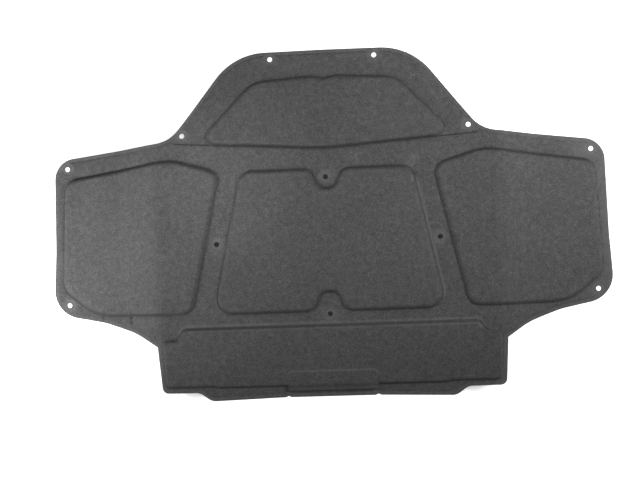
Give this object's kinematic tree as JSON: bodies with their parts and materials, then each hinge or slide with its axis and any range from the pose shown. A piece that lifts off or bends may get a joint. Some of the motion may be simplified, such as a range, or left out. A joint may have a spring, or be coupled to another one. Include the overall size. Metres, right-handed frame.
{
  "type": "bonnet insulation pad",
  "caption": "Moulded felt pad for the underside of a car bonnet, with raised panels, a bent nose and wings, and holes for push clips.",
  "frame": {"origin": "on the floor, in the middle of the pad's length and width", "axes": "+X across the car, +Y from the tail to the nose of the pad, +Z out of the face that looks at the engine"},
  "size_m": [1.2414, 0.7757, 0.0488],
  "materials": {
    "felt": "matt charcoal needled felt with a pressed non-woven facing"
  },
  "bodies": {
    "root": {"insulation_pad": "felt"}
  },
  "joints": []
}
